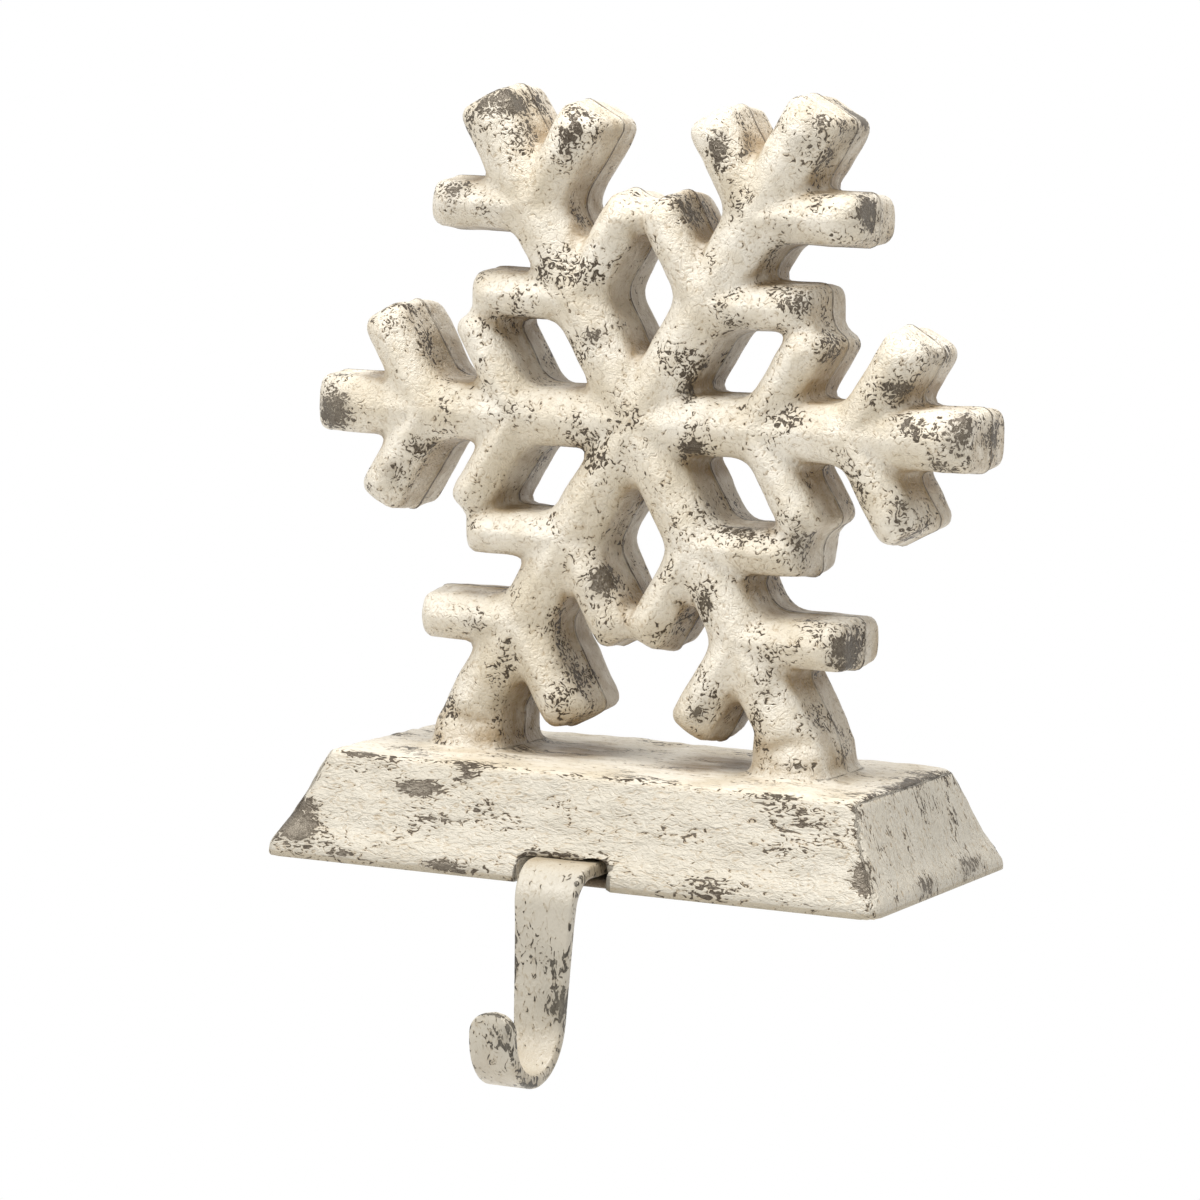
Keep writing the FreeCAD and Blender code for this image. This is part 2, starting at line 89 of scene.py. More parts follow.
# Sizes of the snowflake
FLAKE_MIDDLE = (0.0, 1.8, 101.9)
FLAKE_THICK = 30.8
ARM_LENGTH = 83.6
SIDE_ARM_LENGTH = 81.6
ARM_WIDTH = 15.0
BRANCHES = ((31.4, 26.9, 11.9), (54.7, 26.1, 12.6))
BRANCH_ANGLE = math.radians(60)
DRAFT = math.tan(math.radians(3.8))
END_ROUND = 2.8
RIM_ROUND = 2.3
CROWN = 4.8
CREST = 0.28
VALLEY = 3.2
CREASE = 0.07
FAR_FROM_RIDGE = 1.4
SEAM_PROUD = 0.22
SEAM_WIDTH = 0.7
LEG_ANGLE = math.radians(60)
FOOT_INNER_X = 30.4
FOOT_OUTER_X = 50.5
FOOT_LOW_Z = 18.6
FOOT_FILLET = 3.6

# Sizes of the hook's strip
STRIP_THICK = 3.2
STRIP_EDGE = 0.9
TAIL_TOP_Z = 6.2
TAIL_BACK = 17.0
LEG_FRONT_Y = 50.4
LEG_LEAN = math.radians(2.5)
SHOULDER_RADIUS = 6.2
HOOK_RADIUS = 10.2
HOOK_LOW_Z = 40.7
HOOK_SWEEP = math.radians(178)
TIP_RISE = 4.6
TIP_ROUND = 4.4

# Mesh step of the casting
CAST_STEP = 1.14

# Wear, glaze and painted shade: how far wear reaches in from the block's edges, from
# how far off the hub and above the shelf the snowflake's ends are rubbed, and how far
# above the block glaze and painted shade reach round the feet
EDGE_REACH = 3.0
ENDS_FROM = 64.0
ENDS_ABOVE = 30.0
FOOT_GLAZE_AND_SHADE = 9.0

# The hook's glaze colour, laid on as painted shade, begins where the strip runs under the block, and low
# in the bowl
BLOCK_SHADE_Y = -47.0
BLOCK_SHADE_REACH = 6.0
BOWL_Z = -27.0
BOWL_REACH = 8.0
STRIP_EDGE_REACH = 1.6

# How far the marks on the block are drawn out: what is left of their length along X
# and down the ends, before the whole is made a little finer
ALONG_X = 0.45
DOWN_ENDS = 0.5
FINER = 1.25

# Lattice of the random humps: points before it repeats, and where it is begun
LATTICE = 48
LATTICE_START = 1000.0


def mesh_piece(name, points, faces, material):
    """A mesh object from points in millimetres, with smooth faces."""
    mesh = bpy.data.meshes.new(name)
    mesh.from_pydata(np.asarray(points) * MM, [], np.asarray(faces))
    mesh.polygons.foreach_set("use_smooth", np.ones(len(mesh.polygons), bool))
    mesh.materials.append(material)
    mesh.update()
    piece = bpy.data.objects.new(name, mesh)
    bpy.context.collection.objects.link(piece)
    return piece


def point_values(piece, name, values):
    """Keep one number, or one place, for each point of a mesh, for its material."""
    values = np.asarray(values, dtype=np.float32)
    if values.ndim == 2:
        layer = piece.data.attributes.new(name, "FLOAT_VECTOR", "POINT")
        layer.data.foreach_set("vector", values.reshape(-1))
    else:
        layer = piece.data.attributes.new(name, "FLOAT", "POINT")
        layer.data.foreach_set("value", values)


def smooth_min(a, b, reach):
    """The smaller of two distances, blended where they differ by less than reach.

    min(a, b) less reach * h * (1 - h), with h their difference over reach as a share.
    """
    share = np.clip(0.5 + 0.5 * (b - a) / reach, 0.0, 1.0)
    return b + (a - b) * share - reach * share * (1.0 - share)


def rounded_inside(distances, radius):
    """Distance to the space inside all the given faces, its edges rounded.

    The root of the summed squares of what stands out past faces moved in by radius.
    """
    moved = [d + radius for d in distances]
    outside = np.sqrt(sum(np.maximum(d, 0.0) ** 2 for d in moved))
    deepest = moved[0]
    for d in moved[1:]:
        deepest = np.maximum(deepest, d)
    return outside + np.minimum(deepest, 0.0) - radius


def lumps(points, size, seed):
    """A smooth random field from -1 to 1 with humps of the given size.

    Random values on a cubic lattice, blended between lattice points by a smoothstep.
    """
    table = np.random.default_rng(seed).uniform(-1.0, 1.0, (LATTICE, LATTICE, LATTICE))
    place = np.asarray(points) / size + LATTICE_START
    cell = np.floor(place).astype(int)
    part = place - cell
    part = part * part * (3.0 - 2.0 * part)
    low = cell % LATTICE
    high = (cell + 1) % LATTICE
    total = 0.0
    for corner in range(8):
        index = []
        weight = 1.0
        for axis in range(3):
            upper = (corner >> axis) & 1
            index.append((high if upper else low)[:, axis])
            weight = weight * (part[:, axis] if upper else 1.0 - part[:, axis])
        total = total + weight * table[index[0], index[1], index[2]]
    return total


def surface_net(distance, low, high, step):
    """The surface where a distance is zero, as points and quads.

    The distance is worked out on a cubic grid. A cell whose corners lie on both
    sides gets one point, at the mean of the crossings on its twelve edges, and each
    grid edge that crosses the surface gets a quad of the four cells round it.
    """
    axes = [np.arange(low[k], high[k] + step, step) for k in range(3)]
    grid = np.stack(np.meshgrid(*axes, indexing="ij"), axis=-1)
    shape = grid.shape[:3]
    field = distance(grid.reshape(-1, 3)).reshape(shape)
    cells = tuple(n - 1 for n in shape)
    total = np.zeros(cells + (3,))
    count = np.zeros(cells)

    def corner(offset):
        """Picks the grid point at one corner of every cell."""
        return tuple(slice(o, o + n) for o, n in zip(offset, cells))

    for axis in range(3):
        for a in (0, 1):
            for b in (0, 1):
                start = [a, b]
                start.insert(axis, 0)
                end = list(start)
                end[axis] = 1
                f0 = field[corner(start)]
                f1 = field[corner(end)]
                crosses = (f0 < 0) != (f1 < 0)
                share = np.where(crosses, f0 / np.where(crosses, f0 - f1, 1.0), 0.0)
                for k in range(3):
                    value = share if k == axis else float(start[k])
                    total[..., k] += np.where(crosses, value, 0.0)
                count += crosses
    used = count > 0
    number = np.full(cells, -1)
    number[used] = np.arange(np.count_nonzero(used))
    base = np.argwhere(used)
    points = np.array(low) + step * (base + total[used] / count[used][:, None])
    faces = []
    for axis in range(3):
        other = [k for k in range(3) if k != axis]
        inner = [slice(1, -1)] * 3
        inner[axis] = slice(0, -1)
        after = list(inner)
        after[axis] = slice(1, None)
        f0 = field[tuple(inner)] < 0
        f1 = field[tuple(after)] < 0
        place = np.argwhere(f0 != f1)
        outward = f0[f0 != f1]
        place[:, other[0]] += 1
        place[:, other[1]] += 1
        ring = []
        for da, db in ((1, 1), (0, 1), (0, 0), (1, 0)):
            at = place.copy()
            at[:, other[0]] -= da
            at[:, other[1]] -= db
            ring.append(number[at[:, 0], at[:, 1], at[:, 2]])
        quads = np.stack(ring, axis=-1)
        forward = outward if axis != 1 else ~outward
        quads[~forward] = quads[~forward][:, ::-1]
        faces.append(quads)
    return points, np.concatenate(faces)


def slopes(distance, points, step=0.25):
    """The distance at points and its unit gradient, by central differences."""
    gradient = np.empty_like(points)
    for axis in range(3):
        shift = np.zeros(3)
        shift[axis] = step
        gradient[:, axis] = distance(points + shift) - distance(points - shift)
    length = np.linalg.norm(gradient, axis=1)
    return distance(points), gradient / np.maximum(length, 1e-9)[:, None]


# The casting's shape

def bar_plan(x, z, draw, start, heading, length, width):
    """A bar in the plane of the snowflake: distance to its sides, and to its ridge.

    Its sides and end draw in by the draft away from the parting plane. The ridge
    runs along its middle, and its distance is given as a share of the half width.
    """
    dx = x - start[0]
    dz = z - start[1]
    along = dx * math.cos(heading) + dz * math.sin(heading)
    across = np.abs(dz * math.cos(heading) - dx * math.sin(heading))
    half = width / 2
    plan = rounded_inside((across - half + draw, along - length + draw, -along - half), END_ROUND)
    past = along - np.clip(along, 0.0, length - half)
    return plan, np.hypot(across, past) / half


def foot_plan(x, z, draw):
    """The foot that carries a leg down into the block, like bar_plan.

    Upright inside, a little flared outside, and closed above along the leg's end.
    """
    x = np.abs(x)
    half = ARM_WIDTH / 2
    end_x = ARM_LENGTH * math.cos(LEG_ANGLE) + half * math.sin(LEG_ANGLE)
    end_z = half * math.cos(LEG_ANGLE) - ARM_LENGTH * math.sin(LEG_ANGLE)
    low_z = FOOT_LOW_Z - FLAKE_MIDDLE[2]
    flare = math.atan2(FOOT_OUTER_X - end_x, end_z - low_z)
    outside = (x - end_x) * math.cos(flare) + (z - end_z) * math.sin(flare)
    sides = (FOOT_INNER_X - x + draw, outside + draw, z - end_z, low_z - z)
    middle = (FOOT_INNER_X + FOOT_OUTER_X) / 2
    past = np.maximum(z - end_z + half, 0.0)
    across = np.hypot(x - middle, past) / (FOOT_OUTER_X - middle)
    return rounded_inside(sides, END_ROUND), across


def flake_plan(points):
    """Depth from the parting plane, distance to the outline, and to the nearest ridge.

    The plans of six arms, their branches and the two feet are blended into one
    outline, with rounded inner corners.
    """
    x = points[:, 0] - FLAKE_MIDDLE[0]
    depth = np.abs(points[:, 1] - FLAKE_MIDDLE[1])
    z = points[:, 2] - FLAKE_MIDDLE[2]
    draw = depth * DRAFT - SEAM_PROUD * np.exp(-(depth / SEAM_WIDTH) ** 2)
    plan, ridge = foot_plan(x, z, draw)
    for arm in range(6):
        heading = math.radians(60 * arm)
        length = SIDE_ARM_LENGTH if arm % 3 == 0 else ARM_LENGTH
        shift = length - ARM_LENGTH
        bars = [((0.0, 0.0), heading, length, ARM_WIDTH)]
        for place, reach, width in BRANCHES:
            start = ((place + shift) * math.cos(heading), (place + shift) * math.sin(heading))
            bars.append((start, heading + BRANCH_ANGLE, reach, width))
            bars.append((start, heading - BRANCH_ANGLE, reach, width))
        for bar in bars:
            bar_sides, bar_ridge = bar_plan(x, z, draw, *bar)
            plan = smooth_min(plan, bar_sides, VALLEY)
            ridge = smooth_min(ridge, bar_ridge, CREASE)
    return depth, plan, np.minimum(ridge, FAR_FROM_RIDGE)


def flake_distance(points):
    """The snowflake as one cast plate.

    The face falls off evenly to both sides of the nearest ridge, whose crest is
    rounded, so that creases lie between the arms. One rounding runs along the rim.
    """
    depth, plan, ridge = flake_plan(points)
    face = depth - FLAKE_THICK / 2 + CROWN * (np.hypot(ridge, CREST) - CREST)
    return rounded_inside((plan, face), RIM_ROUND)


def box_distance(points, low, high, radius):
    """Distance to an upright box with rounded edges."""
    faces = []
    for axis in range(3):
        faces.append(points[:, axis] - high[axis])
        faces.append(low[axis] - points[:, axis])
    return rounded_inside(faces, radius)


def slope_face(across, z, bottom, top):
    """Distance to a sloping side of the block, given its half widths.

    The side swells a little above the lip, as a humped line along it.
    """
    rise = BLOCK_TOP_Z - LIP_TOP_Z
    lean = math.atan2(bottom - top, rise)
    swell = SWELL * np.exp(-((z - SWELL_Z) / SWELL_REACH) ** 2)
    return (across - bottom) * math.cos(lean) + (z - LIP_TOP_Z) * math.sin(lean) - swell


def block_faces(points):
    """Distances to the block's sloping ends, its sloping sides and its top."""
    x = np.abs(points[:, 0])
    y = np.abs(points[:, 1])
    z = points[:, 2]
    ends = slope_face(x, z, BLOCK_BOTTOM[0] / 2 - LEDGE, BLOCK_TOP[0] / 2)
    sides = slope_face(y, z, BLOCK_BOTTOM[1] / 2 - LEDGE, BLOCK_TOP[1] / 2)
    return ends, sides, z - BLOCK_TOP_Z


def block_edges(points):
    """How near each point lies to one of the block's outer edges, from 0 to 1.

    Near an edge the distances to two faces add up to almost nothing. The upright
    edges are rounder, so their sum counts for half.
    """
    ends, sides, top = block_faces(points)
    nearest = np.maximum(0.5 * (ends + sides), np.maximum(ends, sides) + top)
    return np.where(top < 0.5, np.clip(1.0 + nearest / EDGE_REACH, 0.0, 1.0), 0.0)


def block_distance(points):
    """The sloping block with its upright lip, without the spaces inside it."""
    x = np.abs(points[:, 0])
    y = np.abs(points[:, 1])
    z = points[:, 2]
    ends, sides, top = block_faces(points)
    plan = rounded_inside((ends, sides), BLOCK_CORNER)
    upper = rounded_inside((plan, top, BLOCK_LOW_Z - z), BLOCK_ROUND)
    edge = rounded_inside((x - BLOCK_BOTTOM[0] / 2, y - BLOCK_BOTTOM[1] / 2), BLOCK_CORNER)
    lip = rounded_inside((edge, z - LIP_TOP_Z, BLOCK_LOW_Z - z), LIP_ROUND)
    return np.minimum(np.maximum(upper, edge), lip)


def spaces_distance(points):
    """Hollow, pad recess and notch under the block, with the boss left standing."""
    past = 5.0
    low = -past
    front = -BLOCK_BOTTOM[1] / 2 - past
    above_roof = 40.0
    half = [BLOCK_TOP[k] / 2 - BLOCK_WALL for k in (0, 1)]
    hollow = box_distance(
        points, (-half[0], -half[1], low), (half[0], half[1], ROOF_Z), HOLLOW_ROUND)
    boss = box_distance(
        points, (-BOSS_WIDTH / 2, front, NOTCH_TOP_Z), (BOSS_WIDTH / 2, BOSS_BACK_Y, above_roof),
        BOSS_ROUND)
    hollow = np.maximum(hollow, -boss)
    reach = [BLOCK_BOTTOM[k] / 2 - PAD_INSET for k in (0, 1)]
    recess = box_distance(
        points, (-reach[0], -reach[1], low), (reach[0], reach[1], PAD_TOP_Z), RECESS_ROUND)
    notch = box_distance(
        points, (-NOTCH_WIDTH / 2, front, low), (NOTCH_WIDTH / 2, BOSS_BACK_Y, NOTCH_TOP_Z),
        NOTCH_ROUND)
    return np.minimum(np.minimum(hollow, recess), notch)


def casting_distance(points):
    """Snowflake and block as one, with the hollow underside taken out.

    The snowflake is worked out only for points beside it, and is far from all others.
    """
    far = 60.0
    block = block_distance(points)
    beside = np.abs(points[:, 1] - FLAKE_MIDDLE[1]) < FLAKE_THICK / 2 + 6
    near = beside & (points[:, 2] > FOOT_LOW_Z - 4)
    flake = np.full(len(points), far)
    flake[near] = flake_distance(points[near])
    solid = smooth_min(block, flake, FOOT_FILLET)
    return np.maximum(solid, -spaces_distance(points))


def casting_piece(material):
    """The casting as one closed mesh, with the unevenness of a sand mould."""
    half_y = BLOCK_BOTTOM[1] / 2
    rise = ARM_LENGTH * math.sin(LEG_ANGLE) + ARM_WIDTH / 2
    margin = 2.5
    low = (-SIDE_ARM_LENGTH - margin, -half_y - margin, BLOCK_LOW_Z - margin)
    high = (SIDE_ARM_LENGTH + margin, half_y + margin, FLAKE_MIDDLE[2] + rise)
    points, faces = surface_net(casting_distance, low, high, CAST_STEP)
    # the net's points lie only near the surface, and two steps bring them onto it
    for _ in range(2):
        value, normal = slopes(casting_distance, points)
        points = points - normal * np.clip(value, -1, 1)[:, None]
    _, normal = slopes(casting_distance, points, 0.6)
    block = block_share(points)
    recess, edge = hollows_and_edges(points, normal)
    # glaze in the hollows, partly painted shade, and painted shade on the snowflake's side walls, on
    # faces looking down and round the feet
    recess = glaze_and_painted_shade(points, normal, block, recess)
    edge = np.maximum(edge, block_edges(points))
    grain = grain_places(points, normal)
    ends = rubbed_ends(points)
    points = points + normal * cast_skin(points, grain, block, edge)[:, None]
    limits = np.array([list(c) for c in cad_box]) / MM
    points = np.clip(points, limits[0], limits[1])
    upward = np.clip(2.0 * normal[:, 2] - 1.0, 0.0, 1.0)
    piece = mesh_piece("casting", points, faces, material)
    point_values(piece, "recess", recess)
    point_values(piece, "edge", edge)
    point_values(piece, "grain", grain)
    # the block's sides are greyed, which also paints shade on them, and upward faces keep the cream as
    # painted light from above
    point_values(piece, "ungreyed_and_top_lit", 1.0 - block * (1.0 - 0.85 * upward))
    point_values(piece, "worn", np.maximum(ends, worn_places(points, CASTING_WEAR)))
    return piece


def block_share(points):
    """1 on the block and 0 on the snowflake, changing evenly just above the top."""
    return 1.0 / (1.0 + np.exp((points[:, 2] - BLOCK_TOP_Z - 1.0) / 1.2))


def cast_skin(points, grain, block, edge):
    """How far the cast surface stands out from the smooth shape, in millimetres.

    Soft humps of the sand mould all over, sharper ones along the block's grain, and
    chips off its edges, all of it fading out towards the plain lip.
    """
    lumpy = 0.24 * lumps(points, 7.0, 3) + 0.13 * lumps(points, 3.2, 4) - 0.25
    hacked = 0.28 * lumps(grain, 3.6, 5) + 0.10 * lumps(grain, 1.7, 6) - 0.08
    chips = 2.4 * np.clip(edge - 0.45, 0.0, 0.5) * np.clip(lumps(grain, 4.0, 7) - 0.1, 0.0, 1.0)
    fade = np.clip((points[:, 2] - LIP_TOP_Z) / 3.0, 0.0, 1.0)
    return fade * (lumpy + block * (hacked - chips))


def glaze_and_painted_shade(points, normal, block, recess):
    """How much brown each point gets from how sunk it lies: glaze, and painted shade with it.

    More of it goes in the creases between the arms and round the feet, partly as painted
    shade, and those walls of the snowflake that look aside or down get it as painted shade.
    """
    flake = 1.0 - block
    depth = np.abs(normal[:, 1])
    creases = np.clip((flake_plan(points)[2] - 0.45) / 0.5, 0.0, 1.0)
    feet = np.exp(-((points[:, 2] - BLOCK_TOP_Z) / FOOT_GLAZE_AND_SHADE) ** 2)
    walls = np.clip(np.abs(normal[:, 0]) + np.maximum(-normal[:, 2], 0.0), 0.0, 1.0) * (1.0 - depth)
    recess = recess + 0.3 * flake * depth * creases + 0.3 * flake ** 2 * feet
    return np.maximum(recess, 0.46 * flake * walls)


def rubbed_ends(points):
    """How much the outermost ends of the snowflake are rubbed, in patches."""
    away = np.hypot(points[:, 0] - FLAKE_MIDDLE[0], points[:, 2] - FLAKE_MIDDLE[2])
    outer = np.clip((away - ENDS_FROM) / 14.0, 0.0, 1.0)
    high = np.clip((points[:, 2] - ENDS_ABOVE) / 20.0, 0.0, 1.0)
    return 0.95 * outer * high * np.clip(0.4 + 0.8 * lumps(points, 7.5, 8), 0.0, 1.0)


def grain_places(points, normal):
    """Places for the paint's pattern on the block, squeezed so that it drags along.

    On the block's long sides and top the marks run along X, and on its ends they
    run down the slope, shifted so that the pattern fits together where they meet.
    """
    end = np.abs(normal[:, 0]) > 0.62
    lean = (BLOCK_BOTTOM[0] - BLOCK_TOP[0]) / 2 / BLOCK_TOP_Z
    end_x = np.sign(points[:, 0]) * (BLOCK_TOP[0] / 2 + (BLOCK_TOP_Z - points[:, 2]) * lean)
    places = points.copy()
    places[:, 0] = np.where(end, points[:, 0] - end_x * (1.0 - ALONG_X), points[:, 0] * ALONG_X)
    places[:, 2] = np.where(end, points[:, 2] * DOWN_ENDS, points[:, 2])
    return places * FINER


def hollows_and_edges(points, normal):
    """How sunk each point lies, and how far it stands out on an edge, from 0 to 1.

    Compares the distance a few millimetres out along the normal, and in along it,
    with what a flat face would give.
    """
    recess = np.zeros(len(points))
    for reach, weight in ((2.5, 0.35), (6.0, 0.4), (12.0, 0.25)):
        out = casting_distance(points + normal * reach)
        recess += weight * np.clip(1.0 - out / reach, 0.0, 1.0)
    edge = np.zeros(len(points))
    for reach, weight in ((1.5, 0.5), (3.0, 0.5)):
        depth = -casting_distance(points - normal * reach)
        edge += weight * np.clip(1.0 - depth / reach, 0.0, 1.0)
    return recess, edge


# Places where the paint is rubbed through: middle and reach in millimetres
# along X, Y and Z, and strength
CASTING_WEAR = (
    # the level arm on the left and its branches
    ((-75, -13, 101), (8, 8, 7), 1.0), ((-60, -11, 121), (5.2, 6.5, 5.2), 0.6),
    ((-28, -13, 103), (10, 5, 4), 0.6),
    ((-53, -6, 115), (5.2, 9.1, 6.5), 0.7), ((-59, -13, 87), (5.2, 5.2, 5.2), 0.7),
    ((-53, -11, 93), (5.2, 5.2, 5.2), 0.6), ((-65, -13, 82), (5.2, 5.2, 5.2), 0.5),
    # the upper left arm
    ((-46, -12, 152), (5.2, 5.2, 6.5), 0.8), ((-36, -14, 148), (6.5, 5.2, 3.9), 0.6),
    ((-37, -11, 172), (6.5, 7.8, 5.2), 0.9), ((-29, -8, 166), (6.5, 7.8, 5.2), 0.7),
    ((-16, -13, 164), (3.9, 6.5, 7.8), 0.6), ((-17, 0, 147), (5, 10, 6), 0.35),
    ((-9, -13, 121), (4.5, 4.5, 3.5), 0.85), ((-5, -9, 123), (3.9, 6.5, 3.9), 0.6),
    ((-4, -10, 140), (3, 4, 5), 0.45), ((-61, -8, 141), (5.2, 5.2, 5.2), 0.5),
    # the upper right arm
    ((11, -5, 150), (5.2, 9.1, 6.5), 0.9), ((20, -13, 165), (3.9, 5.2, 5.2), 0.8),
    ((25, -8, 164), (3.9, 7.8, 6.5), 0.7), ((43, -12, 171), (5.2, 5.2, 5.2), 0.8),
    ((47, 0, 168), (5.2, 10.4, 5.2), 0.7), ((43, -6, 162), (3.9, 7.8, 5.2), 0.6),
    ((53, -6, 151), (5.2, 10.4, 5.2), 0.9), ((35, -8, 144), (6.5, 7.8, 3.9), 0.6),
    ((25, -11, 125), (6.5, 5.2, 3.9), 0.7), ((40, -11, 131), (5.2, 6.5, 5.2), 0.8),
    ((13, -10, 109), (3, 5, 4), 0.8), ((17, -10, 115), (3, 5, 4.5), 0.85),
    ((21, -10, 121), (3, 5, 4), 0.8),
    ((36, -13, 147), (6, 5, 5), 0.6),
    # the level arm on the right
    ((45, -8, 119), (3.9, 7.8, 6.5), 0.6), ((64, -10, 113), (5.2, 6.5, 6.5), 0.7),
    ((69, -4, 121), (5.2, 9.1, 5.2), 0.6), ((66, -13, 105), (5.2, 5.2, 5.2), 0.6),
    ((79, -11, 104), (6.5, 7.8, 7.8), 0.9), ((81, 0, 103), (3.9, 10.4, 6.5), 0.7),
    ((66, -11, 87), (5.2, 6.5, 6.5), 0.8), ((18, -13, 104), (5.2, 3.9, 3.9), 0.5),
    ((15, -11, 96), (6.5, 5.2, 3.9), 0.7),
    ((74, -12, 97), (5, 6, 4), 0.8),
    # the lower right arm
    ((20, -12, 62), (5, 5, 7), 0.6),
    ((19, -8, 85), (5.2, 7.8, 9.1), 0.7), ((27, -9, 80), (10.4, 5.2, 2.6), 0.8),
    ((42, -9, 77), (3.9, 7.8, 7.8), 0.8), ((52, -8, 54), (5.2, 11.7, 7.8), 0.8),
    ((20, -14, 38), (5.2, 5.2, 6.5), 0.8), ((36, -13, 45), (5.2, 5.2, 7.8), 0.6),
    ((29, -14, 54), (5.2, 5.2, 3.9), 0.5), ((44, -13, 28), (7.8, 3.9, 2), 0.8),
    # the lower left arm
    ((-6, -11, 65), (5.2, 7.8, 7.8), 0.9), ((-15, -8, 47), (5.2, 9.1, 7.8), 0.8),
    ((-37, -14, 53), (5.2, 3.9, 7.8), 0.7), ((-31, -10, 36), (3.9, 6.5, 6.5), 0.6),
    # the block's front, ends and edges
    ((-68, -39, 7), (6, 6, 5), 1.25), ((-67, -36, 12), (5, 3, 2), 0.9),
    ((-40, -34, 18), (7, 4, 2.2), 1.15), ((-29, -32, 21), (3, 3, 1.5), 0.7),
    ((-29, -41, 2.5), (8, 3, 1.6), 1.1), ((-55, -41, 2.5), (4, 3, 1.6), 1.0),
    ((-32, -37, 12), (8, 3, 1.2), 0.8), ((-45, -40, 5), (4, 3, 1), 0.7),
    ((70, -37, 9), (4, 5, 6), 0.95), ((66, -29, 21), (3, 4, 4), 0.6),
    ((74, -10, 3), (2, 9, 3), 1.0), ((74, 18, 4), (3, 12, 3.5), 0.9),
    ((64, 5, 24), (2.5, 22, 2), 0.75), ((-56, -30, 24), (6, 2.5, 1.5), 0.85),
    ((-53, -16, 25), (9, 5, 2), 0.55), ((-26, 12, 25), (10, 4, 2), 0.6),
    ((12, -8, 25), (6, 4, 2), 0.45), ((16, 24, 25), (14, 3, 2), 0.6),
    ((68, 12, 18), (4, 7, 4), 0.5), ((40, -33, 19), (6, 2, 1.5), 0.5),
    # the back, rubbed on the corners that stand out
    ((-60, 17, 121), (6.5, 6.5, 6.5), 0.7), ((44, 17, 170), (7.8, 6.5, 5.2), 0.8),
    ((-38, 17, 168), (6.5, 6.5, 6.5), 0.7), ((8, 17, 112), (9.1, 5.2, 10.4), 0.6),
    ((62, 39, 8), (7, 5, 5), 0.95), ((-20, 36, 14), (12, 4, 3), 0.7),
    ((-70, 39, 6), (6, 5, 4), 0.8), ((30, 17, 50), (6.5, 5.2, 9.1), 0.6),
)

HOOK_WEAR = (
    ((-1, -46, 5), (6, 4, 2.5), 0.8), ((6, -49, 4), (2.5, 4, 3), 0.75),
    ((1.5, -50.5, -8), (2.2, 3, 6), 0.85), ((4.5, -50.5, -15), (2, 3, 6), 0.95),
    ((5.6, -51, -24), (1.4, 3, 7), 1.0), ((3, -51, -32), (2, 3, 4), 0.7),
    ((-6, -50, -12), (0.9, 3, 9), 0.65), ((-2.5, -75, -27), (1.3, 3, 3.2), 1.0),
    ((4.2, -74, -27), (1.0, 4, 6), 0.95), ((2, -73, -35), (2, 5, 3), 0.8),
    ((-3.5, -72, -36), (1.5, 4, 2.5), 0.8), ((5, -66, -39.5), (1.5, 6, 2), 0.8),
    ((0, -75, -22.5), (4, 3, 1.2), 0.8), ((-2, -70, -38), (4, 4, 3), 0.75),
)


def worn_places(points, places):
    """The strongest of soft-edged spots: strength times exp(-r^2) round each."""
    total = np.zeros(len(points))
    for middle, reach, strength in places:
        r = (points - np.array(middle)) / np.array(reach)
        total = np.maximum(total, strength * np.exp(-np.sum(r * r, axis=1)))
    return total


# The hook's strip

def strip_line(count):
    """Place and heading of the strip's middle line at evenly spread stations.

    Runs and bends follow each other: a run goes straight on, a bend turns about a
    point beside the line. Forward is -Y. Returns forward, up, heading, length.
    """
    half = STRIP_THICK / 2
    shoulder = SHOULDER_RADIUS + half
    bow = HOOK_RADIUS + half
    tail_run = TAIL_BACK + LEG_FRONT_Y - half - shoulder * math.cos(LEG_LEAN)
    leg_top = TAIL_TOP_Z - half - shoulder * (1 - math.sin(LEG_LEAN))
    leg_foot = -HOOK_LOW_Z + half + bow * (1 - math.sin(LEG_LEAN))
    steps = (
        (tail_run, 0.0),
        (shoulder * (math.pi / 2 - LEG_LEAN), -1 / shoulder),
        ((leg_top - leg_foot) / math.cos(LEG_LEAN), 0.0),
        (bow * HOOK_SWEEP, 1 / bow),
        (TIP_RISE, 0.0),
    )
    length = sum(step[0] for step in steps)
    s = np.linspace(0.0, length, count)
    forward = np.zeros(count)
    up = np.zeros(count)
    heading = np.zeros(count)
    at = (-TAIL_BACK, TAIL_TOP_Z - half, 0.0)
    begun = 0.0
    for run, bend in steps:
        here = s >= begun - 1e-9
        t = np.minimum(s[here] - begun, run)
        ends = np.append(t, run)
        angle = at[2] + bend * ends
        if bend:
            f = at[0] + (np.sin(angle) - math.sin(at[2])) / bend
            u = at[1] - (np.cos(angle) - math.cos(at[2])) / bend
        else:
            f = at[0] + ends * math.cos(at[2])
            u = at[1] + ends * math.sin(at[2])
        forward[here], up[here], heading[here] = f[:-1], u[:-1], angle[:-1]
        at = (f[-1], u[-1], angle[-1])
        begun += run
    return s, forward, up, heading, length


def strip_half_width(s, length):
    """Half the strip's width at a distance along it, with the rounded tip."""
    along = length - s
    places = np.array([0.0, 22.0, 40.0, 62.0, 76.0, 82.0, length])
    widths = np.array([10.4, 11.2, 11.8, 13.6, 15.6, 16.2, 16.2])
    half = np.interp(along, places, widths) / 2
    nose = np.clip(TIP_ROUND - along, 0.0, TIP_ROUND)
    return half - TIP_ROUND + np.sqrt(TIP_ROUND ** 2 - nose ** 2)


